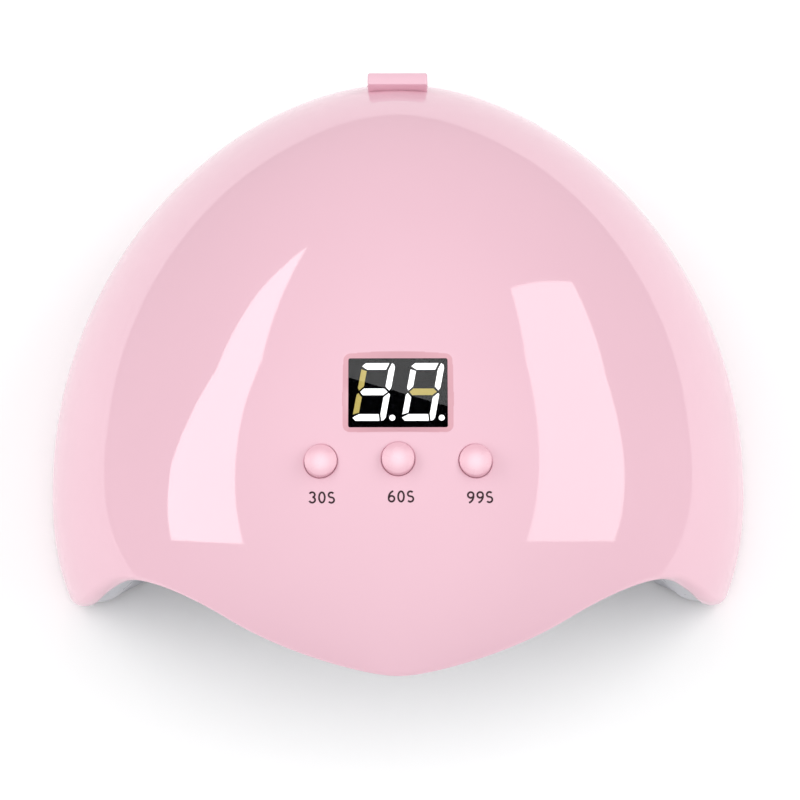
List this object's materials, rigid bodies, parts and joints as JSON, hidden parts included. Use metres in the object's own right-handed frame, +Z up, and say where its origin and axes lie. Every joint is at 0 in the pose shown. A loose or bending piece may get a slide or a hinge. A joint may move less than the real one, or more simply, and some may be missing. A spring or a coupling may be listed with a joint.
{
  "type": "uv led nail lamp",
  "caption": "Domed desk-top lamp for curing nail gel: arched visor over a hand cavity lined with LED lenses, timer display and push buttons on the crown, DC inlet at the back.",
  "frame": {"origin": "centre of the bounding box on the underside of the rubber feet", "axes": "+X to the user's right, -Y towards the user at the hand opening, +Z up"},
  "size_m": [0.186, 0.1834, 0.077],
  "materials": {
    "cover_pink": "glossy moulded ABS, pale pink",
    "liner_grey": "satin moulded ABS, pale grey",
    "window_black": "smoked glossy filter",
    "display_case": "matt black display case",
    "board_green": "solder mask over glass fibre",
    "board_white": "white solder mask over glass fibre",
    "chip_black": "moulded black resin",
    "capacitor_sleeve": "sleeved aluminium can",
    "inductor_core": "dark ferrite",
    "connector_ivory": "ivory nylon",
    "plunger_ivory": "ivory nylon",
    "steel": "zinc-plated steel",
    "led_yellow": "phosphor coat on a white carrier",
    "lens_clear": "clear moulded lens",
    "tag_brass": "plated brass",
    "lead_red": "red insulation",
    "lead_black": "black insulation",
    "lead_white": "white insulation",
    "lead_grey": "grey insulation",
    "foot_rubber": "soft black rubber"
  },
  "bodies": {
    "lamp": {"top_cover": "cover_pink", "inner_liner": "liner_grey", "display_window": "window_black", "display_module": "display_case", "control_board": "board_green", "mcu_chip": "chip_black", "capacitor": "capacitor_sleeve", "drive_transistors": "chip_black", "inductor": "inductor_core", "board_connectors": "connector_ivory", "board_resistors": "chip_black", "board_screws": "steel", "switch_body_30s": "chip_black", "switch_body_60s": "chip_black", "switch_body_99s": "chip_black", "led_board_left": "board_white", "led_board_right": "board_white", "led_board_top": "board_white", "led_board_rear": "board_white", "led_chips_left": "led_yellow", "led_chips_right": "led_yellow", "led_chips_top": "led_yellow", "led_chips_rear": "led_yellow", "led_lenses_left": "lens_clear", "led_lenses_right": "lens_clear", "led_lenses_top": "lens_clear", "led_lenses_rear": "lens_clear", "led_board_screws": "steel", "sensor_board": "board_green", "ir_emitter": "lens_clear", "ir_receiver": "chip_black", "jack_body": "chip_black", "jack_pin": "steel", "jack_tags": "tag_brass", "jack_lead_red": "lead_red", "jack_lead_black": "lead_black", "led_leads_left": "lead_white", "led_leads_right": "lead_white", "led_leads_top": "lead_white", "led_leads_rear": "lead_white", "sensor_leads": "lead_grey", "liner_screws": "steel", "rubber_feet": "foot_rubber"},
    "press_30s": {"button_30s": "cover_pink", "plunger_30s": "plunger_ivory"},
    "press_60s": {"button_60s": "cover_pink", "plunger_60s": "plunger_ivory"},
    "press_99s": {"button_99s": "cover_pink", "plunger_99s": "plunger_ivory"}
  },
  "joints": [
    {"name": "press_30s", "type": "slide", "parent": "lamp", "child": "press_30s", "axis": [0, 0.1219, -0.9925], "range_m": [0, 0.0004], "stiffness_N_per_m": 600},
    {"name": "press_60s", "type": "slide", "parent": "lamp", "child": "press_60s", "axis": [0, 0.1219, -0.9925], "range_m": [0, 0.0004], "stiffness_N_per_m": 600},
    {"name": "press_99s", "type": "slide", "parent": "lamp", "child": "press_99s", "axis": [0, 0.1219, -0.9925], "range_m": [0, 0.0004], "stiffness_N_per_m": 600}
  ]
}
